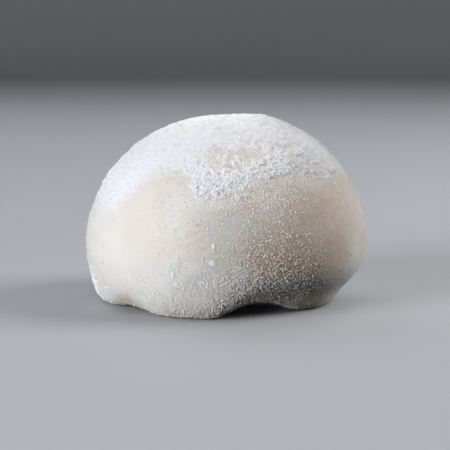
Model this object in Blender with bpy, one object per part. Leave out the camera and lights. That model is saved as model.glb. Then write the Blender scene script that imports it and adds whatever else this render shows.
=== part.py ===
"""Mochi rice cake: one soft lump of pounded rice dough that has settled under its own weight.

Metres, +Z up. The origin is on the table, under the middle of the cake, and -Y is the front.
The cake is one uncut solid: a ball of dough pressed flat where it rests, with the soft swells, the
dents and the lifted hem that hand shaping leaves. Run it with blender --background --python part.py.
"""

import math
from collections import namedtuple

import bmesh
import bpy
from mathutils import Vector

# The plain ball of dough. It is widest at its waist, and the table cuts off the end of its lower half.
WIDTH = 0.0502
DEPTH = 0.0480
WAIST_HEIGHT = 0.0110
CROWN_RISE = 0.0219
BELLY_DROP = 0.0192

# How much of the height is used up by the rounded rim where the side turns under to the flat foot.
RIM_ROUNDING = 0.0016

# Height up the side at which a lifted stretch of hem no longer shows.
HEM_FADE_HEIGHT = 0.0090

# Squares along each edge of the cube that is blown up into the ball.
SQUARES_PER_EDGE = 29

# A soft rise (or, below zero, a dent) of the skin: where its middle lies on the ball, how far it
# fades out along x, y and z, and how far it stands out from the ball.
Swell = namedtuple("Swell", "name middle reach rise")
SWELLS = (
    Swell("left_shoulder_flat", (-0.0205, -0.0020, 0.0205), (0.0065, 0.0140, 0.0065), -0.00055),
    Swell("crown_hump", (0.0075, 0.0000, 0.0325), (0.0034, 0.0080, 0.0050), 0.00085),
    Swell("shoulder_hump", (0.0160, 0.0010, 0.0285), (0.0032, 0.0100, 0.0035), 0.00055),
    Swell("back_shoulder", (-0.0020, 0.0150, 0.0275), (0.0120, 0.0060, 0.0060), 0.00060),
    Swell("back_dent", (0.0080, 0.0205, 0.0190), (0.0080, 0.0060, 0.0050), -0.00060),
    Swell("crown_dent", (-0.0005, -0.0155, 0.0275), (0.0075, 0.0036, 0.0028), -0.00075),
    Swell("crown_lip", (-0.0020, -0.0200, 0.0230), (0.0065, 0.0030, 0.0013), 0.00030),
    Swell("right_lip", (0.0100, -0.0140, 0.0265), (0.0045, 0.0030, 0.0013), 0.00030),
    Swell("right_tuck", (0.0215, -0.0030, 0.0010), (0.0050, 0.0110, 0.0032), -0.00150),
    Swell("left_foot", (-0.0208, 0.0000, 0.0012), (0.0040, 0.0060, 0.0024), 0.00120),
    Swell("front_foot", (-0.0065, -0.0205, 0.0010), (0.0065, 0.0050, 0.0030), 0.00090),
    Swell("front_tuck", (0.0118, -0.0183, 0.0014), (0.0062, 0.0060, 0.0034), -0.00185),
    Swell("back_foot", (0.0040, 0.0205, 0.0015), (0.0080, 0.0050, 0.0028), 0.00080),
)

# A stretch of the hem that doesn't touch the table: its middle in plan, its half-sizes and its height.
Lift = namedtuple("Lift", "name middle half_size height")
LIFTS = (
    Lift("arch", (0.0053, -0.0190), (0.0077, 0.0125), 0.0025),
    Lift("arch_tail", (0.0130, -0.0170), (0.0058, 0.0080), 0.0006),
    Lift("left_notch", (-0.0165, -0.0125), (0.0058, 0.0060), 0.0008),
    Lift("back_hollow", (-0.0110, 0.0185), (0.0085, 0.0060), 0.0007),
)

DOUGH_COLOUR = (0.80, 0.76, 0.70, 1.0)
DOUGH_ROUGHNESS = 0.75


def clear_scene():
    for obj in list(bpy.data.objects):
        bpy.data.objects.remove(obj, do_unlink=True)


def dough_material():
    material = bpy.data.materials.new("dusted_dough")
    material.use_nodes = True
    shader = material.node_tree.nodes["Principled BSDF"]
    shader.inputs["Base Color"].default_value = DOUGH_COLOUR
    shader.inputs["Roughness"].default_value = DOUGH_ROUGHNESS
    shader.inputs["Metallic"].default_value = 0.0
    return material


def even_direction(corner):
    """The direction for a point on the cube, spaced so that the squares come out about the same size."""
    return Vector([math.tan(along * math.pi / 4) for along in corner]).normalized()


def swell_at(point):
    """How far all the swells together stand out at a point of the ball."""
    total = 0.0
    for swell in SWELLS:
        gaps = [(p - m) / r for p, m, r in zip(point, swell.middle, swell.reach)]
        total += swell.rise * math.exp(-0.5 * sum(gap * gap for gap in gaps))
    return total


def resting_height(height):
    """A height above the table, none of it below, with the corner between side and foot rounded."""
    closeness = max(0.0, 1 - abs(height) / RIM_ROUNDING)
    return max(0.0, height) + RIM_ROUNDING * closeness * closeness / 4


def hem_lift(point):
    """How far the hem is raised off the table at a point. Each lift is an ellipse in plan. It swells
    softly from left to right, and runs in under the cake at nearly the same height."""
    total = 0.0
    for lift in LIFTS:
        across, inward = [(p - m) / half for p, m, half in zip(point.xy, lift.middle, lift.half_size)]
        span = 1 - across**2
        if span > 0:
            total += lift.height * span**1.5 * max(0.0, 1 - (inward**2 / span) ** 2)
    return total * max(0.0, 1 - point.z / HEM_FADE_HEIGHT) ** 2


def skin_point(direction):
    """Where the point of the round ball in this direction ends up on the skin of the cake."""
    half_height = CROWN_RISE if direction.z > 0 else BELLY_DROP
    halves = Vector((WIDTH / 2, DEPTH / 2, half_height))
    point = direction * halves + Vector((0, 0, WAIST_HEIGHT))
    outward = Vector([d / half for d, half in zip(direction, halves)]).normalized()
    point += outward * swell_at(point)
    point.z = resting_height(point.z)
    point.z += hem_lift(point)
    return point


def centre_over_origin(shape):
    """Moves the shape so that the middle of its plan is on the Z axis."""
    for axis in (0, 1):
        places = [vertex.co[axis] for vertex in shape.verts]
        middle = (min(places) + max(places)) / 2
        for vertex in shape.verts:
            vertex.co[axis] -= middle


def make_mochi():
    shape = bmesh.new()
    bmesh.ops.create_cube(shape, size=2.0)
    bmesh.ops.subdivide_edges(
        shape, edges=shape.edges[:], cuts=SQUARES_PER_EDGE - 1, use_grid_fill=True
    )
    for vertex in shape.verts:
        vertex.co = skin_point(even_direction(vertex.co))
    centre_over_origin(shape)
    bmesh.ops.recalc_face_normals(shape, faces=shape.faces[:])

    mesh = bpy.data.meshes.new("mochi")
    shape.to_mesh(mesh)
    shape.free()
    mesh.shade_smooth()
    mesh.materials.append(dough_material())
    mochi = bpy.data.objects.new("mochi", mesh)
    bpy.context.scene.collection.objects.link(mochi)
    return mochi


clear_scene()
make_mochi()
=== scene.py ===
"""A mochi rice cake: soft pounded rice dough under an uneven dusting of starch.

Metres, +Z up, -Y is the front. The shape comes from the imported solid; this script makes its surface.
"""

import math
import random
from collections import namedtuple

import bmesh
import bpy
from mathutils import Matrix, Vector, bvhtree, noise


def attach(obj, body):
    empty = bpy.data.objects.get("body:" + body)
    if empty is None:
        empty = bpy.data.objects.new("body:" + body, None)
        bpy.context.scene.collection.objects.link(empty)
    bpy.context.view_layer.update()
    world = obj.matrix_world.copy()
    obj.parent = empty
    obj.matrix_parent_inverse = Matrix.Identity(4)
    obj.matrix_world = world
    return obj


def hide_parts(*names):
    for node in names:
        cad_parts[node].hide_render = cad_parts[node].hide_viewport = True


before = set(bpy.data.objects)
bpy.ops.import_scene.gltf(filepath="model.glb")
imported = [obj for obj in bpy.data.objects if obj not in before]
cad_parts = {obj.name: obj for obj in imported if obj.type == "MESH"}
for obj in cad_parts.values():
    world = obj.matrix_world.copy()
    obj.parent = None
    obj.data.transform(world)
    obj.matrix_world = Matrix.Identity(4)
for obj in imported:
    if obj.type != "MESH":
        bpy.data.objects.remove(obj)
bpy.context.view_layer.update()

# ---- The dough -------------------------------------------------------------------------------------
# Rice dough pounded smooth and rolled by hand, still warm when it was set down, so it sagged into a
# dome. It is warm white, a little translucent, and paler where a thin film of starch lies on it. Its
# mesh is the solid with its facets rounded away.

MM = 0.001
SKIN_SPACING = 0.42 * MM
# Neighbouring facets of the solid that are this nearly level and square are joined before rounding.
LEVEL_ENOUGH = math.radians(20)
SQUARE_ENOUGH = math.radians(40)


def evaluated_mesh(obj, name):
    """The object's mesh with its modifiers applied, as a new mesh."""
    graph = bpy.context.evaluated_depsgraph_get()
    mesh = bpy.data.meshes.new_from_object(obj.evaluated_get(graph))
    mesh.name = name
    return mesh


def add_piece(name, mesh):
    piece = bpy.data.objects.new(name, mesh)
    bpy.context.scene.collection.objects.link(piece)
    return piece


def rounded_copy(node, name, spacing):
    """A copy of a faceted solid with its facets rounded away and its points evenly spaced."""
    shape = bmesh.new()
    shape.from_mesh(node.data)
    bmesh.ops.remove_doubles(shape, verts=shape.verts[:], dist=0.001 * MM)
    bmesh.ops.join_triangles(
        shape,
        faces=shape.faces[:],
        angle_face_threshold=LEVEL_ENOUGH,
        angle_shape_threshold=SQUARE_ENOUGH,
    )
    mesh = bpy.data.meshes.new(name)
    shape.to_mesh(mesh)
    shape.free()
    piece = add_piece(name, mesh)
    rounding = piece.modifiers.new("rounding", "SUBSURF")
    rounding.levels = rounding.render_levels = 2
    even = piece.modifiers.new("even", "REMESH")
    even.mode = "VOXEL"
    even.voxel_size = spacing
    piece.data = evaluated_mesh(piece, name)
    piece.modifiers.clear()
    return piece


def smooth_step(low, high, value):
    """0 at low, 1 at high and a smooth way between them. Low may be the larger of the two."""
    t = min(1.0, max(0.0, (value - low) / (high - low)))
    return t * t * (3 - 2 * t)


def line_distance(point, route):
    """Distance from a point to the nearest place on a route of straight runs."""
    best = math.inf
    for start, end in zip(route, route[1:]):
        run = end - start
        t = min(1.0, max(0.0, (point - start).dot(run) / run.length_squared))
        best = min(best, (point - start - run * t).length)
    return best


# Places in the skin, all in millimetres: the middle, how far it fades out along x, y and z, how much.
Patch = namedtuple("Patch", "middle reach amount")
# Past this many reaches, squared, a patch no longer shows.
PATCH_END = 12


def patch_sum(point, patches):
    total = 0.0
    for patch in patches:
        gaps = [(p - m) / r for p, m, r in zip(point, patch.middle, patch.reach)]
        spread = sum(gap * gap for gap in gaps)
        if spread < PATCH_END:
            total += patch.amount * math.exp(-0.5 * spread)
    return total


# Uneven layers of noise: how strong a layer is, and how many of its lumps go into a millimetre.
Wave = namedtuple("Wave", "strength fineness")


def wave_sum(point, waves):
    return sum(wave.strength * noise.noise(point * wave.fineness) for wave in waves)


def share(value):
    """The value, kept between 0 and 1."""
    return min(1.0, max(0.0, value))


# Where more or less starch was left than elsewhere: loose grains and the thin film, which also paints
# some rim light; and the painted warm shade.
SPECKLE_PATCHES = (
    Patch((4.5, -22.0, 12.0), (8.0, 9.0, 7.5), 0.60),
    Patch((9.0, -18.0, 5.0), (9.0, 6.0, 4.0), 0.50),
    Patch((-15.5, -17.0, 14.0), (7.5, 12.0, 8.5), -1.70),
    Patch((20.5, -12.0, 13.5), (4.5, 8.0, 8.0), -0.20),
    Patch((19.0, -8.0, 21.0), (4.0, 6.0, 4.0), -0.60),
    Patch((25.5, -5.0, 12.0), (5.5, 12.0, 12.0), -0.64),
    Patch((22.3, -8.0, 8.5), (2.2, 5.0, 3.5), -0.45),
    Patch((-7.0, -20.0, 3.0), (7.0, 5.0, 3.0), 0.30),
    Patch((6.0, -20.0, 20.5), (7.0, 4.0, 2.6), 0.45),
)
# The film's patches. The ones along the left rim and on the lower right slant are partly real film and
# partly painted rim light.
FILM_AND_RIM_LIGHT_PATCHES = (
    Patch((-17.0, -16.0, 14.0), (8.0, 12.0, 8.0), 0.58),
    Patch((-15.0, -14.0, 20.0), (6.0, 8.0, 3.0), 0.25),
    # Along the left rim: film and painted rim light.
    Patch((-24.5, -3.0, 10.0), (3.5, 12.0, 12.0), 0.60),
    Patch((-16.0, -15.0, 5.0), (7.0, 8.0, 4.0), 0.65),
    Patch((14.9, -19.0, 13.3), (1.3, 2.0, 1.5), 0.35),
    Patch((17.6, -16.5, 15.2), (1.8, 2.5, 2.2), 0.20),
    Patch((22.5, -9.0, 14.0), (2.0, 6.0, 8.0), 0.30),
    Patch((24.5, -2.0, 10.0), (3.0, 5.0, 9.0), 0.35),
    # The lower right slant: film and painted rim light.
    Patch((20.5, -11.0, 5.0), (4.0, 6.0, 4.5), 1.00),
    Patch((-3.0, -21.5, 20.0), (4.5, 4.0, 2.5), 0.45),
    Patch((3.0, -22.5, 16.0), (5.0, 4.0, 3.5), 0.45),
    Patch((4.3, -22.5, 17.5), (3.0, 4.0, 2.0), 0.30),
    Patch((-17.0, -17.0, 12.5), (4.0, 5.0, 4.0), 0.20),
    Patch((-3.5, -22.7, 16.5), (4.0, 4.0, 2.5), 0.35),
    Patch((-10.0, -21.5, 11.5), (3.5, 4.0, 3.5), 0.25),
    Patch((1.9, -23.6, 8.6), (1.3, 3.0, 1.8), 0.70),
    Patch((-1.0, -23.3, 13.0), (4.5, 4.0, 3.5), 0.30),
    Patch((11.0, -19.0, 7.0), (7.0, 7.0, 5.0), -0.40),
    Patch((3.0, -15.0, 27.0), (11.0, 6.0, 3.0), 0.25),
    Patch((-2.5, -23.4, 8.8), (2.4, 2.0, 1.1), 0.40),
    Patch((-8.9, -22.4, 8.4), (0.7, 2.0, 1.8), 0.60),
    Patch((-3.8, -22.8, 6.5), (2.0, 3.0, 1.5), 0.40),
    Patch((17.0, -15.5, 6.5), (2.0, 3.0, 2.5), 0.60),
    Patch((-22.5, -5.0, 2.5), (3.0, 6.0, 2.5), 0.60),
    Patch((5.5, -20.8, 20.5), (4.0, 3.0, 1.5), 0.30),
    Patch((12.0, -15.5, 24.0), (5.0, 5.0, 3.0), 0.45),
    Patch((-7.0, -20.5, 3.0), (7.0, 5.0, 3.0), 0.65),
    Patch((1.0, -22.0, 6.5), (3.5, 4.0, 3.0), 0.60),
)
# Painted shade: warmer, darker dough where the cake lies in shade, along the front hem, under the lifted
# arch and on the lower right, with a few smaller patches. The patch at the left notch is a painted warm
# glow of light through the thin edge.
PAINTED_SHADE_PATCHES = (
    Patch((-2.0, -20.5, 0.4), (6.0, 3.0, 1.5), 0.9),
    Patch((-17.3, -12.8, 1.6), (1.8, 2.8, 1.2), 1.0),
    Patch((10.8, -19.0, 8.0), (4.8, 8.0, 6.0), 1.00),
    Patch((3.0, -23.0, 12.5), (5.5, 5.0, 5.5), 0.25),
    Patch((9.2, -17.5, 3.5), (5.0, 5.0, 2.4), 0.95),
    Patch((3.3, -21.4, 20.0), (1.6, 2.0, 1.1), 0.5),
    Patch((10.5, -17.5, 21.5), (5.0, 3.0, 2.0), 0.25),
)


# The ordinary cover in front, how much less or more there is behind, and how uneven it is.
SPECKLE_BASE, SPECKLE_LESS_BEHIND = 0.35, 0.25
SPECKLE_WAVES = (Wave(0.40, 0.11), Wave(0.25, 0.45), Wave(0.35, 1.1))
FILM_BASE, FILM_MORE_BEHIND = 0.15, 0.50
FILM_WAVES = (Wave(0.35, 0.13),)
FILM_MOTTLING = (Wave(0.30, 0.9),)
WARM_WAVES = (Wave(0.15, 0.2),)
# Moves the film's noise along, so that it doesn't follow the speckle's.
FILM_SHIFT = Vector((7, 0, 0)) / 0.13


def behind(point):
    """0 on the front of the cake, 1 on its back."""
    return smooth_step(-4, 5, point.y)


def right_of_smooth_side(point):
    """0 on the smooth left side of the cake, 1 to the right of it."""
    return smooth_step(-14, -8, point.x)


def speckle_cover(point):
    """How densely loose starch is scattered at a point, in millimetres: 0 is none, 1 is dense."""
    cover = SPECKLE_BASE + wave_sum(point, SPECKLE_WAVES) - SPECKLE_LESS_BEHIND * behind(point)
    return share(cover + patch_sum(point, SPECKLE_PATCHES))


def film_cover(point):
    """How much a thin, even film of starch pales the dough at a point, in millimetres; on the left rim
    and the lower right slant the paling is partly painted rim light.
    """
    cover = FILM_BASE + wave_sum(point + FILM_SHIFT, FILM_WAVES) + FILM_MORE_BEHIND * behind(point)
    cover += wave_sum(point, FILM_MOTTLING) * right_of_smooth_side(point)
    return share(cover + patch_sum(point, FILM_AND_RIM_LIGHT_PATCHES))


def warmth(point):
    """How much warm shade, and at the left notch a warm glow, is painted on the dough at a point, in
    millimetres, over a slight random warm tone.
    """
    return share(wave_sum(point, WARM_WAVES) + patch_sum(point, PAINTED_SHADE_PATCHES))


dough = rounded_copy(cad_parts["mochi"], "dough", SKIN_SPACING)
COVERS = {"speckle": speckle_cover, "film": film_cover, "warmth": warmth}


def store_layer(mesh, name, values):
    attribute = mesh.attributes.new(name, "FLOAT", "POINT")
    attribute.data.foreach_set("value", values)


ROLLING_WAVES = (Wave(0.10, 0.18), Wave(0.02, 0.9))


def skin_undulation(point):
    """The soft unevenness that rolling by hand leaves, in millimetres. The flat foot stays flat."""
    return smooth_step(0.0, 1.0, point.z) * wave_sum(point, ROLLING_WAVES)


for name, cover_at in COVERS.items():
    store_layer(dough.data, name, [cover_at(vertex.co / MM) for vertex in dough.data.vertices])
normals = [vertex.normal.copy() for vertex in dough.data.vertices]
for vertex, outward in zip(dough.data.vertices, normals):
    vertex.co += outward * MM * skin_undulation(vertex.co / MM)
dough.data.shade_smooth()


def new_node(tree, kind, **settings):
    node = tree.nodes.new(kind)
    for name, value in settings.items():
        setattr(node, name, value)
    return node


def link_math(tree, operation, first, second, third=None):
    """A Math node; each input is a number or an output to link. Gives back its output."""
    node = new_node(tree, "ShaderNodeMath", operation=operation)
    for socket, value in zip(node.inputs, (first, second, third)):
        if isinstance(value, (int, float)):
            socket.default_value = value
        elif value is not None:
            tree.links.new(value, socket)
    return node.outputs[0]


def linked_mix(tree, factor, first, second):
    """A colour mix; the colours are values or outputs to link. Gives back its output."""
    node = new_node(tree, "ShaderNodeMix", data_type="RGBA")
    tree.links.new(factor, node.inputs["Factor"])
    for socket, value in ((node.inputs["A"], first), (node.inputs["B"], second)):
        if isinstance(value, tuple):
            socket.default_value = value
        else:
            tree.links.new(value, socket)
    return node.outputs["Result"]


def soft_threshold(tree, value, low, high):
    node = new_node(tree, "ShaderNodeMapRange", interpolation_type="SMOOTHSTEP")
    node.inputs["From Min"].default_value = low
    node.inputs["From Max"].default_value = high
    tree.links.new(value, node.inputs["Value"])
    return node.outputs["Result"]


# The starch close up: how many specks and how many flecks of the finer unevenness go into a metre.
SPECKS_PER_METRE = 3300.0
FLECKS_PER_METRE = 3000.0


def grain_group():
    """The look of starch close up: separate specks, and a fine unevenness in tone and height."""
    group = bpy.data.node_groups.new("starch_grain", "ShaderNodeTree")
    side = group.interface
    side.new_socket("Speckle", in_out="INPUT", socket_type="NodeSocketFloat")
    for name in ("Specks", "Tone", "Height"):
        side.new_socket(name, in_out="OUTPUT", socket_type="NodeSocketFloat")
    inp = new_node(group, "NodeGroupInput")
    out = new_node(group, "NodeGroupOutput")
    place = new_node(group, "ShaderNodeTexCoord").outputs["Object"]

    fine = new_node(group, "ShaderNodeTexNoise")
    fine.inputs["Scale"].default_value = FLECKS_PER_METRE
    fine.inputs["Detail"].default_value = 3.0
    fine.inputs["Roughness"].default_value = 0.6
    group.links.new(place, fine.inputs["Vector"])

    specks = new_node(group, "ShaderNodeTexVoronoi")
    specks.inputs["Scale"].default_value = SPECKS_PER_METRE
    group.links.new(place, specks.inputs["Vector"])
    pick = new_node(group, "ShaderNodeSeparateColor")
    group.links.new(specks.outputs["Color"], pick.inputs["Color"])
    dense_enough = link_math(group, "SUBTRACT", inp.outputs["Speckle"], pick.outputs["Red"])
    chosen = soft_threshold(group, dense_enough, 0.0, 0.3)
    size = link_math(group, "MULTIPLY_ADD", pick.outputs["Green"], 0.25, 0.25)
    inside = link_math(group, "SUBTRACT", size, specks.outputs["Distance"])
    round_speck = soft_threshold(group, inside, 0.0, 0.12)
    speck = link_math(group, "MULTIPLY", chosen, round_speck)
    height = link_math(group, "MULTIPLY_ADD", fine.outputs["Fac"], 1.2, speck)
    group.links.new(speck, out.inputs["Specks"])
    group.links.new(fine.outputs["Fac"], out.inputs["Tone"])
    group.links.new(height, out.inputs["Height"])
    return group


def layer_output(tree, name):
    return new_node(tree, "ShaderNodeAttribute", attribute_name=name).outputs["Fac"]


def link_bump(tree, shader, height, distance):
    bump = new_node(tree, "ShaderNodeBump")
    bump.inputs["Distance"].default_value = distance
    bump.inputs["Strength"].default_value = 1.0
    tree.links.new(height, bump.inputs["Height"])
    tree.links.new(bump.outputs["Normal"], shader.inputs["Normal"])


BARE_DOUGH = (0.62, 0.50, 0.415, 1.0)
# The warmer, darker colour of the painted shade and of the painted glow at the left notch.
PAINTED_WARM_SHADE = (0.47, 0.34, 0.25, 1.0)
FILMED_DOUGH = (0.78, 0.757, 0.732, 1.0)
SPECK_WHITE = (0.92, 0.88, 0.83, 1.0)
# How far light of each colour travels in the dough, as shares of the longest way.
SOAKING = (1.0, 0.65, 0.45)
SOAKING_LENGTH = 1.6 * MM
SKIN_GRAIN_HEIGHT = 0.04 * MM
starch_grain = grain_group()


def filmed_colour(tree):
    """The colour of the dough: paler under the film of starch and its painted rim light, warmer and
    darker under painted shade.
    """
    colour = linked_mix(tree, layer_output(tree, "film"), BARE_DOUGH, FILMED_DOUGH)
    return linked_mix(tree, layer_output(tree, "warmth"), colour, PAINTED_WARM_SHADE)


def dough_material():
    material = bpy.data.materials.new("dusted_dough")
    material.use_nodes = True
    tree = material.node_tree
    shader = tree.nodes["Principled BSDF"]
    shader.inputs["Roughness"].default_value = 0.6
    tree.links.new(layer_output(tree, "softness"), shader.inputs["Subsurface Weight"])
    shader.inputs["Subsurface Radius"].default_value = SOAKING
    shader.inputs["Subsurface Scale"].default_value = SOAKING_LENGTH
    shader.inputs["Specular IOR Level"].default_value = 0.3
    shader.inputs["Sheen Weight"].default_value = 0.35
    shader.inputs["Sheen Roughness"].default_value = 0.5
    grain = new_node(tree, "ShaderNodeGroup", node_tree=starch_grain)
    tree.links.new(layer_output(tree, "speckle"), grain.inputs["Speckle"])
    colour = linked_mix(tree, grain.outputs["Specks"], filmed_colour(tree), SPECK_WHITE)
    tree.links.new(colour, shader.inputs["Base Color"])
    link_bump(tree, shader, grain.outputs["Height"], SKIN_GRAIN_HEIGHT)
    return material


dough.data.materials.append(dough_material())
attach(dough, "root")
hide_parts("mochi")

# ---- The caked starch ------------------------------------------------------------------------------
# Starch that stuck in a crust while the dough was damp: thick and white over the crown, its blue tint
# painted cool light, bumpy along the seams where it was pushed up, and thin towards its edge. It is a
# part of the skin, lifted off it, made uneven and closed underneath, inside the dough.

# The lower edge of the crown's crust: bearing round the cake from +X in degrees, height in millimetres.
CAP_EDGE = (
    (0, 22.0), (40, 23.0), (80, 20.5), (120, 23.5), (160, 20.0), (185, 17.5), (207, 16.6),
    (214, 17.2), (221, 19.8), (227, 22.4), (233, 23.8), (241, 24.6), (248, 24.3), (255, 22.4),
    (262, 22.0), (270, 22.6), (282, 23.8), (292, 24.8), (303, 25.2), (311, 24.4), (319, 24.0),
    (335, 23.0), (360, 22.0),
)
# Half the height over which the crust thins out: in front, on the right, on the left, and how much
# more behind, where its edge is also the most ragged.
CAP_FADE = 1.8
RIGHT_CAP_FADE = 3.2
LEFT_CAP_FADE = 4.2
MORE_CAP_FADE_BEHIND = 1.5
EDGE_WAVES = (Wave(0.7, 0.5),)
RAGGED_EDGE_WAVES = (Wave(6.0, 0.15),)
FULL_COVER = 0.95
# Patches and seams of crust lie above this height.
LOWEST_CRUST = 19
CROWN_PATCHES = (
    Patch((0.2, -15.6, 26.7), (4.2, 4.0, 1.5), -0.48),
    Patch((-5.4, -12.8, 28.4), (2.2, 2.5, 1.2), 0.35),
    Patch((-8.8, -14.2, 26.3), (3.0, 3.0, 1.5), 0.30),
    Patch((4.6, -14.6, 27.3), (1.6, 3.0, 0.9), -0.40),
    Patch((9.6, -11.0, 28.6), (2.2, 3.0, 0.9), -0.40),
    Patch((12.4, -13.6, 25.5), (1.2, 2.5, 1.0), -0.10),
    Patch((-2.9, -13.4, 28.2), (1.3, 2.5, 0.6), -0.40),
    Patch((0.6, -15.4, 26.8), (1.0, 1.0, 0.40), -0.30),
    Patch((-2.5, -21.5, 21.4), (3.4, 3.0, 1.4), 0.45),
    Patch((4.0, -20.5, 22.0), (3.6, 3.0, 1.3), 0.30),
    Patch((11.3, -13.4, 26.7), (2.2, 3.0, 0.8), 0.35),
    Patch((9.3, -16.1, 25.0), (2.0, 2.0, 0.7), 0.35),
    Patch((14.1, -7.8, 28.0), (2.5, 3.0, 1.2), 0.25),
    Patch((17.2, -11.4, 23.2), (0.9, 1.5, 0.6), 0.50),
)
# Seams where the starch has been pushed up into a low ridge: the route, its width, its thickness.
Seam = namedtuple("Seam", "route width amount")


def run_through(*places):
    """The route that runs through the places in order."""
    return [Vector(place) for place in places]


RIDGE = run_through(
    (-5.6, -19.5, 22.9), (-3.1, -19.3, 23.8), (-1.1, -19.7, 23.6), (0.6, -19.5, 23.8),
    (3.4, -18.9, 24.1), (5.3, -17.5, 24.9), (6.8, -18.5, 23.9), (7.8, -17.3, 24.4),
    (9.1, -16.3, 24.8), (10.8, -15.9, 24.6), (13.0, -14.2, 24.5), (14.6, -12.9, 24.3),
)
CROWN_SEAMS = (
    Seam(RIDGE[:9], 0.55, 0.45),
    Seam(RIDGE[8:], 0.45, 0.20),
    Seam(
        run_through((-3.6, -20.3, 22.5), (-1.0, -20.8, 21.9), (1.4, -20.9, 21.9), (3.5, -20.2, 22.4)),
        0.60, 0.35,
    ),
    Seam(
        run_through((8.2, -11.3, 29.0), (8.8, -13.1, 27.7), (9.8, -14.3, 26.4), (10.4, -15.5, 25.0)),
        0.28, 0.30,
    ),
    Seam(run_through((12.6, -12.5, 26.4), (13.6, -12.8, 25.4), (14.6, -12.9, 24.4)), 0.28, 0.25),
    Seam(
        run_through(
            (-0.6, -15.7, 26.5), (0.0, -15.0, 27.2), (0.7, -14.7, 27.5), (1.5, -15.1, 27.2),
            (2.0, -15.8, 26.5),
        ),
        0.26, 0.40,
    ),
    Seam(run_through((4.5, -16.2, 26.4), (5.9, -15.3, 26.7), (7.4, -14.4, 27.1)), 0.30, 0.30),
)
# A seam is only looked for this near the height of its first place, and fades out over some widths.
SEAM_REACH = 4.0
SEAM_END = 3


def cap_edge_height(point):
    bearing = math.degrees(math.atan2(point.y, point.x)) % 360
    for (left, low), (right, high) in zip(CAP_EDGE, CAP_EDGE[1:]):
        if bearing <= right:
            return low + (high - low) * (bearing - left) / (right - left)
    return CAP_EDGE[-1][1]


def seam_sum(point, seams):
    total = 0.0
    for seam in seams:
        if abs(point.z - seam.route[0].z) < SEAM_REACH and point.y < 0:
            gap = line_distance(point, seam.route) / seam.width
            if gap < SEAM_END:
                total += seam.amount * math.exp(-gap * gap)
    return total


def crown_cover(point):
    """How thick the crown's crust is at a point, in millimetres: 0 is bare, 1 is thick."""
    raggedness = smooth_step(-6, 3, point.y)
    edge = cap_edge_height(point) + wave_sum(point, EDGE_WAVES)
    edge += raggedness * wave_sum(point, RAGGED_EDGE_WAVES)
    fade = CAP_FADE + (LEFT_CAP_FADE - CAP_FADE) * smooth_step(-5, -12, point.x)
    fade += (RIGHT_CAP_FADE - CAP_FADE) * smooth_step(5, 12, point.x)
    fade += MORE_CAP_FADE_BEHIND * raggedness
    cover = FULL_COVER * smooth_step(edge - fade, edge + fade, point.z)
    if cover > 0 or point.z > LOWEST_CRUST:
        cover += patch_sum(point, CROWN_PATCHES) + seam_sum(point, CROWN_SEAMS)
    return cover


# How lumpy the crust is at the least, and where it is lumpier.
LEAST_LUMPINESS = 0.35
LUMPINESS_PATCHES = (
    Patch((0.0, -16.5, 25.5), (7.0, 6.0, 3.0), 0.60),
    Patch((-1.0, -20.5, 22.0), (6.0, 4.0, 2.0), 0.40),
    Patch((11.0, -12.5, 26.0), (7.0, 5.0, 3.0), 0.38),
    Patch((-20.5, 0.0, 21.0), (4.0, 7.0, 6.0), 0.80),
    Patch((-8.0, 0.0, 31.0), (7.0, 9.0, 3.0), 0.25),
)


def lumpiness(point):
    return LEAST_LUMPINESS + patch_sum(point, LUMPINESS_PATCHES)


# The crust's three sizes of lump, in millimetres: how high they are and how far apart. Each size lies
# elsewhere in the noise, so that they don't fall on each other.
Lump = namedtuple("Lump", "height pitch shift")
SOFT_LUMP = Lump(0.30, 1.15, Vector((0, 0, 0)))
SMALL_LUMP = Lump(0.15, 0.58, Vector((40, 0, 0)))
GRIT_LUMP = Lump(0.14, 0.36, Vector((80, 0, 0)))
# How wide a lump is, in pitches, and how far lumps are pushed out of round. Which way they are pushed
# is drawn at random, so it has a seed.
LUMP_REACH = 0.62
LUMP_WARP = Wave(0.12, 1.3)
noise.seed_set(7)


def dome(point, lump):
    """Rounded lumps about one pitch apart: 1 on top of a lump, 0 between them."""
    gap = noise.voronoi((point + lump.shift) / lump.pitch)[0][0]
    return max(0.0, 1 - (gap / LUMP_REACH) ** 2)


def crust_bumps(point):
    """The unevenness of the crust at a point, in millimetres, from soft lumps down to grit."""
    warped = point + LUMP_WARP.strength * noise.noise_vector(point * LUMP_WARP.fineness)
    soft = SOFT_LUMP.height * dome(warped, SOFT_LUMP) * (0.45 + noise.noise(point * 0.5))
    small = SMALL_LUMP.height * dome(warped, SMALL_LUMP) * (0.7 + 0.9 * noise.noise(point * 0.9))
    grit = GRIT_LUMP.height * (dome(warped, GRIT_LUMP) - 0.4)
    return lumpiness(point) * (soft + small + grit)


# Where a crust is gritty enough to need a finer mesh, in millimetres: the middle and the half-sizes.
FINE_ZONES = (
    ((2.5, -19.0, 23.5), (10.5, 12.0, 4.6)),
    ((11.0, -13.0, 25.5), (6.5, 9.0, 4.0)),
)
# How far back the crust's mesh is finer than the dough's, in millimetres.
FRONT_REACH = 4.0


def in_fine_zone(point):
    for middle, half in FINE_ZONES:
        if sum(((p - m) / h) ** 2 for p, m, h in zip(point, middle, half)) < 1:
            return True
    return False


def split_faces(shape, chosen):
    """Splits the squares between the chosen points in four."""
    edges = [edge for edge in shape.edges if edge.verts[0] in chosen and edge.verts[1] in chosen]
    bmesh.ops.subdivide_edges(shape, edges=edges, cuts=1, use_grid_fill=True)


# The least cover that has a crust, and how thick it is, in millimetres. Its bed is sunk in the dough.
CRUST_EDGE_COVER = 0.06
CRUST_BED = -0.10
CRUST_THICKNESS = 0.25
# Soft blotches of thicker and thinner crust, and the finer mottling, which is stronger where it is lumpy.
BLOTCHES = (Wave(0.16, 0.4),)
MOTTLING_FINENESS = 1.2
LEAST_MOTTLING, MOTTLING_OF_LUMPS = 0.15, 0.5
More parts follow.
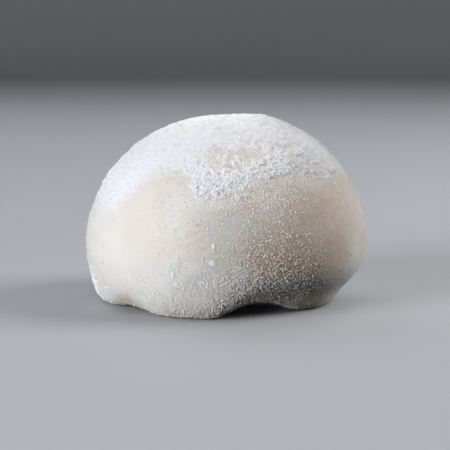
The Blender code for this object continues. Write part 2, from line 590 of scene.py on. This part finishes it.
# The white of the powder against its thickness, and how much whiter lumps are than the hollows.
POWDER_GAIN, POWDER_START = 1.4, 0.30
LUMP_WHITENESS, LUMP_MIDDLE = 2.5, 0.06
# How much of the mottling the smooth side keeps, and how much of its lumps the thinnest crust keeps.
SMOOTH_SIDE_SHARE = 0.3
THIN_CRUST_SHARE = 0.35


def cut_out_crust():
    """The part of the dough's skin that has a crust, with a finer mesh in front."""
    shape = bmesh.new()
    shape.from_mesh(dough.data)
    bare = [vertex for vertex in shape.verts if crown_cover(vertex.co / MM) < CRUST_EDGE_COVER]
    bmesh.ops.delete(shape, geom=bare, context="VERTS")
    bmesh.ops.delete(shape, geom=[edge for edge in shape.edges if edge.is_wire], context="EDGES")
    stray = [vertex for vertex in shape.verts if not vertex.link_faces]
    bmesh.ops.delete(shape, geom=stray, context="VERTS")
    split_faces(shape, {v for v in shape.verts if v.co.y < FRONT_REACH * MM})
    split_faces(shape, {v for v in shape.verts if in_fine_zone(v.co / MM)})
    shape.normal_update()
    return shape


def crust_height_and_powder(point):
    """How high the crust stands at a point, in millimetres, and how white its powder is, 0 to 1."""
    cover = crown_cover(point)
    mottling = LEAST_MOTTLING + MOTTLING_OF_LUMPS * lumpiness(point)
    mottling *= noise.noise(point * MOTTLING_FINENESS)
    unevenness = SMOOTH_SIDE_SHARE + (1 - SMOOTH_SIDE_SHARE) * right_of_smooth_side(point)
    cover += (wave_sum(point, BLOTCHES) + mottling) * unevenness * smooth_step(0.0, 0.3, cover)
    cover = share(cover)
    bumps = crust_bumps(point)
    lumps = bumps * (THIN_CRUST_SHARE + (1 - THIN_CRUST_SHARE) * cover)
    height = CRUST_BED + CRUST_THICKNESS * cover + lumps
    whiteness = LUMP_WHITENESS * unevenness * (bumps - LUMP_MIDDLE)
    return height, share(POWDER_GAIN * cover - POWDER_START + whiteness)


def close_underneath(shape):
    """Closes the open edges inside the dough. What can't be closed is a crumb, and is taken away."""
    bmesh.ops.holes_fill(shape, edges=[edge for edge in shape.edges if edge.is_boundary], sides=0)
    crumbs = [vertex for vertex in shape.verts if vertex.is_boundary]
    bmesh.ops.delete(shape, geom=crumbs, context="VERTS")
    bmesh.ops.triangulate(shape, faces=[face for face in shape.faces if len(face.verts) > 4])
    bmesh.ops.recalc_face_normals(shape, faces=shape.faces[:])


def make_crust():
    """A closed crust of starch wherever its cover is above the edge value."""
    shape = cut_out_crust()
    powder = {}
    moves = []
    for vertex in shape.verts:
        height, powder[vertex] = crust_height_and_powder(vertex.co / MM)
        if vertex.is_boundary:
            height = CRUST_BED
        moves.append((vertex, vertex.normal * height * MM))
    for vertex, move in moves:
        vertex.co += move
    close_underneath(shape)
    shape.verts.index_update()
    values = [powder[vertex] for vertex in shape.verts]
    mesh = bpy.data.meshes.new("crust")
    shape.to_mesh(mesh)
    shape.free()
    store_layer(mesh, "powder", values)
    mesh.shade_smooth()
    return add_piece("crust", mesh)


# The starch's white and its random darker tone, both tinted blue: the tint is painted cool light from
# above.
COOL_LIT_STARCH_WHITE = (0.87, 0.885, 0.94, 1.0)
COOL_LIT_STARCH_GREY = (0.79, 0.80, 0.84, 1.0)
CRUST_SPECKLE = 0.4
CRUST_GRAIN_HEIGHT = 0.05 * MM


def crust_material():
    material = bpy.data.materials.new("caked_starch")
    material.use_nodes = True
    tree = material.node_tree
    shader = tree.nodes["Principled BSDF"]
    shader.inputs["Roughness"].default_value = 0.9
    shader.inputs["Specular IOR Level"].default_value = 0.25
    shader.inputs["Sheen Weight"].default_value = 0.8
    shader.inputs["Sheen Roughness"].default_value = 0.4
    grain = new_node(tree, "ShaderNodeGroup", node_tree=starch_grain)
    grain.inputs["Speckle"].default_value = CRUST_SPECKLE
    tone = soft_threshold(tree, grain.outputs["Tone"], 0.3, 0.7)
    # A random mix of the starch's two tones, both with the painted cool tint.
    white = linked_mix(tree, tone, COOL_LIT_STARCH_GREY, COOL_LIT_STARCH_WHITE)
    colour = linked_mix(tree, layer_output(tree, "powder"), filmed_colour(tree), white)
    tree.links.new(colour, shader.inputs["Base Color"])
    link_bump(tree, shader, grain.outputs["Height"], CRUST_GRAIN_HEIGHT)
    return material


crust = make_crust()
crust.data.materials.append(crust_material())
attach(crust, "root")

# The lifted hem in front, where hardly any light reaches the dough to soak in.
SHADED_HEM = (Patch((7.5, -17.0, 3.0), (5.5, 5.0, 3.0), 0.80),)


def softness(point):
    """How much light soaks into the dough at a point: all of it, but for the crust's bed and the hem."""
    return (1 - smooth_step(-0.02, 0.12, crown_cover(point))) * (1 - patch_sum(point, SHADED_HEM))


store_layer(dough.data, "softness", [softness(vertex.co / MM) for vertex in dough.data.vertices])

# ---- The loose starch ------------------------------------------------------------------------------
# Potato or corn starch shaken over the cake. It is in tiny, bright, matt grains that stick where they
# fall, half sunk in the soft skin: a fine dust all over, and coarser grains that stand out of it.

# Where starch lies in coarse grit, in millimetres.
GRIT_PATCHES = (
    Patch((-1.0, -20.5, 21.8), (4.5, 4.0, 1.6), 0.75),
    Patch((5.0, -20.0, 21.4), (4.5, 4.0, 1.7), 0.70),
    Patch((11.5, -16.0, 22.8), (4.0, 4.0, 1.4), 0.45),
    Patch((1.0, -22.5, 17.0), (6.0, 5.0, 3.0), 0.30),
    Patch((0.0, -16.0, 26.6), (4.5, 4.0, 1.6), 0.30),
    Patch((10.0, -13.5, 26.5), (6.5, 4.0, 2.2), 0.42),
    Patch((-21.0, 1.0, 21.0), (4.0, 6.0, 7.0), 0.35),
    Patch((-7.5, -20.5, 3.2), (6.5, 5.0, 2.2), 0.90),
    Patch((-2.5, -23.4, 8.8), (2.2, 2.0, 0.9), 0.60),
    Patch((1.5, -21.5, 5.5), (4.0, 3.5, 2.2), 0.75),
    Patch((9.5, -17.0, 4.5), (5.0, 4.0, 2.2), 0.25),
    Patch((5.0, -22.0, 9.0), (6.0, 6.0, 4.0), 0.15),
    Patch((-4.0, -23.0, 6.8), (2.5, 4.0, 1.5), 0.55),
    Patch((2.2, -23.6, 9.0), (1.2, 2.0, 1.5), 0.50),
    Patch((-24.0, -4.0, 3.5), (2.0, 6.0, 2.5), 0.60),
)
HOOK = run_through((-7.6, -22.8, 10.2), (-8.9, -22.3, 9.4), (-9.0, -22.1, 8.0), (-8.5, -22.0, 6.3))
GRIT_SEAMS = (Seam(RIDGE, 0.9, 0.55), Seam(HOOK, 0.50, 1.0))
GRIT_BASE = 0.75
GRIT_WAVES = (Wave(1.2, 0.8),)


def grit_cover(point):
    """How densely coarse grit lies at a point, in millimetres: 0 is none, 1 is dense."""
    patchy = max(0.0, GRIT_BASE + wave_sum(point, GRIT_WAVES))
    return min(1.0, patchy * patch_sum(point, GRIT_PATCHES) + seam_sum(point, GRIT_SEAMS))


# How much of the fine loose starch stays on the crust, where it hardly shows.
CRUST_SHARE = 0.05
# The covers at which the crust starts to show above the dough, and at which it hides it.
CRUST_STARTS, CRUST_HIDES = 0.25, 0.60


def starch_at(place, carrier):
    """How densely fine grains and grit lie on the dough, or on the crust, at a place in millimetres."""
    clear_of_table = smooth_step(0.1, 0.5, place.z)
    bare = 1 - smooth_step(CRUST_STARTS, CRUST_HIDES, crown_cover(place))
    if carrier is dough:
        shown, fine = clear_of_table * bare, speckle_cover(place)
    else:
        shown, fine = clear_of_table * (1 - bare), CRUST_SHARE
    return shown * fine, shown * grit_cover(place)


for carrier in (dough, crust):
    densities = [starch_at(vertex.co / MM, carrier) for vertex in carrier.data.vertices]
    store_layer(carrier.data, "grains", [fine for fine, _ in densities])
    store_layer(carrier.data, "grit", [coarse for _, coarse in densities])

# One kind of loose starch: the layer that says where it lies, the shape of a grain, how many grains lie
# on a square millimetre where it is densest, the smallest and largest radius in millimetres, how far a
# grain's middle stands above the skin as a share of its radius, the seed of its random draws, its colour
# and roughness, and the share of its brightness that the darkest grains have.
Starch = namedtuple("Starch", "name layer grain per_square_mm sizes rise seed colour roughness darkest")
# Most grains are near the smallest size: the chance of a large one falls off with this power.
RARITY = 3.0
# How far a grain is stretched or squashed along each of its axes.
STRETCH_LEAST, STRETCH_MOST = (0.75, 0.75, 0.75), (1.25, 1.25, 1.25)


def scatter_nodes(starch):
    """Nodes that scatter copies of a grain over a skin, as densely as the layer says."""
    tree = bpy.data.node_groups.new(starch.name, "GeometryNodeTree")
    tree.interface.new_socket("Geometry", in_out="INPUT", socket_type="NodeSocketGeometry")
    tree.interface.new_socket("Geometry", in_out="OUTPUT", socket_type="NodeSocketGeometry")
    inp = new_node(tree, "NodeGroupInput")
    out = new_node(tree, "NodeGroupOutput")
    layer = new_node(tree, "GeometryNodeInputNamedAttribute", data_type="FLOAT")
    layer.inputs["Name"].default_value = starch.layer
    density = link_math(tree, "MULTIPLY", layer.outputs["Attribute"], starch.per_square_mm / MM**2)
    points = new_node(tree, "GeometryNodeDistributePointsOnFaces", distribute_method="RANDOM")
    points.inputs["Seed"].default_value = starch.seed
    tree.links.new(inp.outputs["Geometry"], points.inputs["Mesh"])
    tree.links.new(density, points.inputs["Density"])
    turn = new_node(tree, "FunctionNodeRandomValue", data_type="FLOAT_VECTOR")
    turn.inputs["Max"].default_value = (math.tau, math.tau, math.tau)
    turn.inputs["Seed"].default_value = starch.seed + 1
    stretch = new_node(tree, "FunctionNodeRandomValue", data_type="FLOAT_VECTOR")
    stretch.inputs["Min"].default_value = STRETCH_LEAST
    stretch.inputs["Max"].default_value = STRETCH_MOST
    stretch.inputs["Seed"].default_value = starch.seed + 2
    chance = new_node(tree, "FunctionNodeRandomValue", data_type="FLOAT")
    chance.inputs["Seed"].default_value = starch.seed + 3
    rare = link_math(tree, "POWER", chance.outputs[1], RARITY)
    smallest, largest = starch.sizes
    size = link_math(tree, "MULTIPLY_ADD", rare, (largest - smallest) * MM, smallest * MM)
    scale = new_node(tree, "ShaderNodeVectorMath", operation="SCALE")
    tree.links.new(stretch.outputs[0], scale.inputs["Vector"])
    tree.links.new(size, scale.inputs["Scale"])
    lift = new_node(tree, "ShaderNodeVectorMath", operation="SCALE")
    tree.links.new(points.outputs["Normal"], lift.inputs["Vector"])
    tree.links.new(link_math(tree, "MULTIPLY", size, starch.rise), lift.inputs["Scale"])
    lifted = new_node(tree, "GeometryNodeSetPosition")
    tree.links.new(points.outputs["Points"], lifted.inputs["Geometry"])
    tree.links.new(lift.outputs["Vector"], lifted.inputs["Offset"])
    source = new_node(tree, "GeometryNodeObjectInfo")
    source.inputs["Object"].default_value = starch.grain
    place = new_node(tree, "GeometryNodeInstanceOnPoints")
    tree.links.new(lifted.outputs["Geometry"], place.inputs["Points"])
    tree.links.new(source.outputs["Geometry"], place.inputs["Instance"])
    tree.links.new(turn.outputs[0], place.inputs["Rotation"])
    tree.links.new(scale.outputs["Vector"], place.inputs["Scale"])
    joined = new_node(tree, "GeometryNodeRealizeInstances")
    tree.links.new(place.outputs["Instances"], joined.inputs["Geometry"])
    tree.links.new(joined.outputs["Geometry"], out.inputs["Geometry"])
    return tree


def scatter(starch):
    """One mesh of all the grains scattered over the dough and the crust."""
    shape = bmesh.new()
    nodes = scatter_nodes(starch)
    for carrier in (dough, crust):
        spread = carrier.modifiers.new(starch.name, "NODES")
        spread.node_group = nodes
        part = evaluated_mesh(carrier, starch.name)
        carrier.modifiers.remove(spread)
        shape.from_mesh(part)
        bpy.data.meshes.remove(part)
    mesh = bpy.data.meshes.new(starch.name)
    shape.to_mesh(mesh)
    shape.free()
    extra = ("grains", "grit", "powder", "softness", *COVERS)
    for left_over in [layer.name for layer in mesh.attributes if layer.name in extra]:
        mesh.attributes.remove(mesh.attributes[left_over])
    mesh.materials.clear()
    return add_piece(starch.name, mesh)


def grain_shape(name, make):
    """A grain of radius 1 for scattering, from a bmesh operator call."""
    shape = bmesh.new()
    make(shape)
    mesh = bpy.data.meshes.new(name)
    shape.to_mesh(mesh)
    shape.free()
    return add_piece(name, mesh)


def starch_material(name, colour, roughness, darkest):
    """Bright matt starch whose whiteness varies from grain to grain, down to the darkest share."""
    material = bpy.data.materials.new(name)
    material.use_nodes = True
    tree = material.node_tree
    shader = tree.nodes["Principled BSDF"]
    shader.inputs["Roughness"].default_value = roughness
    shader.inputs["Specular IOR Level"].default_value = 0.7
    shader.inputs["Sheen Weight"].default_value = 0.4
    shader.inputs["Sheen Roughness"].default_value = 0.6
    grain = new_node(tree, "ShaderNodeGroup", node_tree=starch_grain)
    tone = soft_threshold(tree, grain.outputs["Tone"], 0.35, 0.65)
    shade = tuple(darkest * channel for channel in colour[:3]) + (1.0,)
    tree.links.new(linked_mix(tree, tone, shade, colour), shader.inputs["Base Color"])
    return material


dust_grain = grain_shape(
    "dust_grain",
    lambda shape: bmesh.ops.create_uvsphere(shape, u_segments=4, v_segments=2, radius=1.0),
)
coarse_grain = grain_shape(
    "coarse_grain",
    lambda shape: bmesh.ops.create_icosphere(shape, subdivisions=1, radius=1.0),
)
LOOSE_STARCH = (
    Starch(
        name="dust", layer="grains", grain=dust_grain, per_square_mm=9.0, sizes=(0.045, 0.075),
        rise=0.22, seed=11, colour=(0.93, 0.875, 0.80, 1.0), roughness=0.7, darkest=0.75,
    ),
    Starch(
        name="fine_grains", layer="grains", grain=dust_grain, per_square_mm=8.0, sizes=(0.065, 0.110),
        rise=0.22, seed=31, colour=(0.96, 0.895, 0.81, 1.0), roughness=0.5, darkest=0.75,
    ),
    Starch(
        name="grains", layer="grains", grain=coarse_grain, per_square_mm=2.0, sizes=(0.090, 0.175),
        rise=0.35, seed=21, colour=(0.98, 0.905, 0.81, 1.0), roughness=0.3, darkest=0.85,
    ),
    Starch(
        name="grit", layer="grit", grain=dust_grain, per_square_mm=20.0, sizes=(0.095, 0.180),
        rise=0.22, seed=41, colour=(0.95, 0.94, 0.93, 1.0), roughness=0.7, darkest=0.85,
    ),
)
for starch in LOOSE_STARCH:
    piece = scatter(starch)
    finish = starch_material(f"starch_{starch.name}", starch.colour, starch.roughness, starch.darkest)
    piece.data.materials.append(finish)
    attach(piece, "root")
for helper in (dust_grain, coarse_grain):
    bpy.data.objects.remove(helper, do_unlink=True)
for carrier in (dough, crust):
    for layer_name in ("grains", "grit"):
        carrier.data.attributes.remove(carrier.data.attributes[layer_name])

# ---- The clots of starch ---------------------------------------------------------------------------
# Damp starch sticks together in soft, flattened clots up to a millimetre across. They lie mostly along
# the pushed-up seams, on the crown and round the foot, and a few large ones on the front.

# Heaps of clots in millimetres: the middle, the half-sizes of the heap, how many and how large.
Heap = namedtuple("Heap", "middle half_size count size")
HEAPS = (
    Heap((-2.2, -23.8, 13.0), (0.10, 0.5, 0.60), 14, 0.20),
    Heap((-2.3, -23.8, 10.4), (0.45, 0.5, 0.40), 22, 0.20),
    Heap((-3.0, -23.7, 10.6), (0.30, 0.5, 0.20), 6, 0.14),
    Heap((-8.6, -22.4, 9.6), (0.45, 0.5, 0.15), 12, 0.15),
    Heap((-9.0, -22.1, 8.0), (0.15, 0.5, 0.90), 20, 0.16),
    Heap((-8.4, -22.0, 6.4), (0.20, 0.5, 0.30), 8, 0.14),
    Heap((17.0, -11.5, 23.2), (0.45, 0.5, 0.22), 16, 0.20),
    Heap((18.0, -10.8, 23.2), (0.25, 0.5, 0.20), 8, 0.18),
    Heap((6.1, -16.3, 26.6), (0.30, 0.5, 0.40), 12, 0.22),
    Heap((-4.2, -23.1, 6.9), (0.70, 0.5, 0.50), 14, 0.16),
    Heap((5.4, -22.9, 5.8), (0.50, 0.5, 0.40), 8, 0.14),
    Heap((-24.2, -1.0, 3.3), (0.20, 1.3, 0.40), 18, 0.38),
    Heap((-23.2, -2.5, 1.6), (0.60, 3.0, 0.70), 34, 0.24),
)
LOOSE_CLOTS = 380
CLOT_SMALLEST, CLOT_LARGEST = 0.08, 0.22
# No clot lies lower than this, where the cake meets the table.
CLOT_LOWEST = 0.3
# A clot's thickness, how far its middle stands above the skin, and how uneven it is, against its size.
CLOT_THICKNESS = 0.45
CLOT_RISE = 0.05
CLOT_UNEVENNESS = Wave(0.35, 2.6)
# How likely a loose clot is to stay on loose grains, on thin crust and on grit.
ON_GRAINS, ON_THIN_CRUST, ON_GRIT = 0.6, 0.5, 0.5
CLOT_WHITE = (0.93, 0.93, 0.94, 1.0)


def add_clot(shape, surface, place, size, draw):
    """One flattened clot on the skin nearest to a place, all in millimetres."""
    ground, outward, _, _ = surface.find_nearest(place * MM)
    if ground.z < CLOT_LOWEST * MM:
        return
    length, width = size * draw.uniform(0.8, 1.4), size * draw.uniform(0.8, 1.2)
    flat = Matrix.Diagonal((length * MM, width * MM, size * CLOT_THICKNESS * MM, 1.0))
    spin = Matrix.Rotation(draw.uniform(0, math.tau), 4, "Z")
    stand = outward.to_track_quat("Z", "Y").to_matrix().to_4x4()
    put = Matrix.Translation(ground + outward * CLOT_RISE * size * MM)
    made = bmesh.ops.create_icosphere(
        shape, subdivisions=2, radius=1.0, matrix=put @ stand @ spin @ flat
    )
    for vertex in made["verts"]:
        wobble = noise.noise(vertex.co / MM * CLOT_UNEVENNESS.fineness / size)
        vertex.co += (vertex.co - ground) * CLOT_UNEVENNESS.strength * wobble


def place_in_heap(heap, draw):
    """A random place in the heap's ellipsoid."""
    while True:
        offset = Vector([draw.uniform(-1, 1) for _ in range(3)])
        if offset.length < 1:
            return Vector(heap.middle) + offset * Vector(heap.half_size)


def clot_chance(place):
    """How likely a loose clot is to stay at a place. None stays on the smooth right side."""
    cover = share(crown_cover(place))
    chance = ON_GRAINS * speckle_cover(place) * (1 - cover) + ON_THIN_CRUST * cover * (1 - cover)
    if place.z > 1:
        chance += ON_GRIT * grit_cover(place)
    return chance * (1 - smooth_step(12, 17, place.x))


def make_clots():
    draw = random.Random(5)
    shape = bmesh.new()
    ground = bmesh.new()
    for carrier in (dough, crust):
        ground.from_mesh(carrier.data)
    surface = bvhtree.BVHTree.FromBMesh(ground)
    ground.free()
    for heap in HEAPS:
        for _ in range(heap.count):
            place = place_in_heap(heap, draw)
            add_clot(shape, surface, place, heap.size * draw.uniform(0.6, 1.2), draw)
    corners = dough.data.vertices
    made = 0
    while made < LOOSE_CLOTS:
        place = corners[draw.randrange(len(corners))].co / MM
        if draw.random() < clot_chance(place):
            size = CLOT_SMALLEST + (CLOT_LARGEST - CLOT_SMALLEST) * draw.random() ** 3
            add_clot(shape, surface, place, size, draw)
            made += 1
    mesh = bpy.data.meshes.new("clots")
    shape.to_mesh(mesh)
    shape.free()
    mesh.shade_smooth()
    return add_piece("clots", mesh)


clots = make_clots()
clots.data.materials.append(starch_material("starch_clot", CLOT_WHITE, 0.8, 0.9))
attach(clots, "root")

# ---- The studio ------------------------------------------------------------------------------------
# A pale round sweep of card, flat under the cake and curved up all round. Soft daylight comes from low
# on the left in front, and weaker cards throw some of it back from the right and from behind.

FLOOR_RADIUS = 0.9
SWEEP_HEIGHT = 0.7
SWEEP_BEND = 0.25
BEND_STEPS = 12
SWEEP_STEPS = 96
FLOOR_COLOUR = (0.50, 0.52, 0.55, 1.0)


def make_sweep():
    shape = bmesh.new()
    flat_radius = FLOOR_RADIUS - SWEEP_BEND
    profile = [Vector((0, 0, 0)), Vector((flat_radius, 0, 0))]
    for step in range(1, BEND_STEPS + 1):
        turn = math.radians(90 * step / BEND_STEPS)
        out, up = SWEEP_BEND * math.sin(turn), SWEEP_BEND - SWEEP_BEND * math.cos(turn)
        profile.append(Vector((flat_radius + out, 0, up)))
    profile.append(Vector((FLOOR_RADIUS, 0, SWEEP_HEIGHT)))
    points = [shape.verts.new(p) for p in profile]
    edges = [shape.edges.new(pair) for pair in zip(points, points[1:])]
    bmesh.ops.spin(
        shape, geom=points + edges, cent=(0, 0, 0), axis=(0, 0, 1),
        angle=math.tau, steps=SWEEP_STEPS, use_merge=True,
    )
    bmesh.ops.remove_doubles(shape, verts=shape.verts[:], dist=0.01 * MM)
    bmesh.ops.recalc_face_normals(shape, faces=shape.faces[:])
    mesh = bpy.data.meshes.new("sweep")
    shape.to_mesh(mesh)
    shape.free()
    mesh.shade_smooth()
    return add_piece("sweep", mesh)


sweep = make_sweep()
sweep_material = bpy.data.materials.new("pale_card")
sweep_material.use_nodes = True
sweep_shader = sweep_material.node_tree.nodes["Principled BSDF"]
sweep_shader.inputs["Base Color"].default_value = FLOOR_COLOUR
sweep_shader.inputs["Roughness"].default_value = 0.7
sweep.data.materials.append(sweep_material)
sweep.visible_diffuse = False

DAYLIGHT = (0.97, 0.985, 1.0)
CREAM_CARD = (1.0, 0.985, 0.965)
CAKE_MIDDLE = Vector((0.0, 0.0, 0.015))
# A soft light: where it stands, how wide and high it is, its power in watts and its colour.
Lamp = namedtuple("Lamp", "name place size power colour")
LAMPS = (
    Lamp("window", (-0.377, -0.317, 0.102), (0.30, 0.30), 3.46, DAYLIGHT),
    Lamp("right_card", (0.409, 0.014, 0.302), (0.30, 0.30), 1.72, CREAM_CARD),
    Lamp("low_card", (0.498, 0.044, 0.095), (0.34, 0.16), 0.15, CREAM_CARD),
    Lamp("back_card", (0.125, 0.217, 0.448), (0.30, 0.30), 0.32, DAYLIGHT),
    Lamp("back_left", (-0.205, 0.355, 0.302), (0.30, 0.30), 0.38, DAYLIGHT),
    Lamp("back_right", (0.205, 0.355, 0.302), (0.30, 0.30), 0.25, DAYLIGHT),
)


def set_up_lamp(lamp):
    """An area light that faces the cake and isn't seen itself."""
    light = bpy.data.lights.new(lamp.name, "AREA")
    light.shape = "RECTANGLE"
    light.size, light.size_y = lamp.size
    light.energy = lamp.power
    light.color = lamp.colour
    stand = bpy.data.objects.new(lamp.name, light)
    stand.location = lamp.place
    stand.rotation_euler = (CAKE_MIDDLE - Vector(lamp.place)).to_track_quat("-Z", "Y").to_euler()
    stand.visible_camera = False
    bpy.context.scene.collection.objects.link(stand)


for lamp in LAMPS:
    set_up_lamp(lamp)

ROOM_COLOUR = (0.85, 0.9, 1.0, 1.0)
ROOM_STRENGTH = 0.01
world = bpy.data.worlds.new("room")
bpy.context.scene.world = world
world.use_nodes = True
world.node_tree.nodes["Background"].inputs["Color"].default_value = ROOM_COLOUR
world.node_tree.nodes["Background"].inputs["Strength"].default_value = ROOM_STRENGTH
bpy.context.scene.view_settings.view_transform = "Standard"

LENS, SENSOR_WIDTH = 150, 36
VIEW_DISTANCE = 0.335
VIEW_ELEVATION = math.radians(8)
AIM = Vector((-0.00025, 0, 0.01343))
camera_data = bpy.data.cameras.new("camera")
camera_data.lens = LENS
camera_data.sensor_width = SENSOR_WIDTH
camera_data.clip_start = 0.01
camera = bpy.data.objects.new("camera", camera_data)
back = Vector((0, -math.cos(VIEW_ELEVATION), math.sin(VIEW_ELEVATION)))
camera.location = AIM + back * VIEW_DISTANCE
camera.rotation_euler = (-back).to_track_quat("-Z", "Y").to_euler()
bpy.context.scene.collection.objects.link(camera)
bpy.context.scene.camera = camera
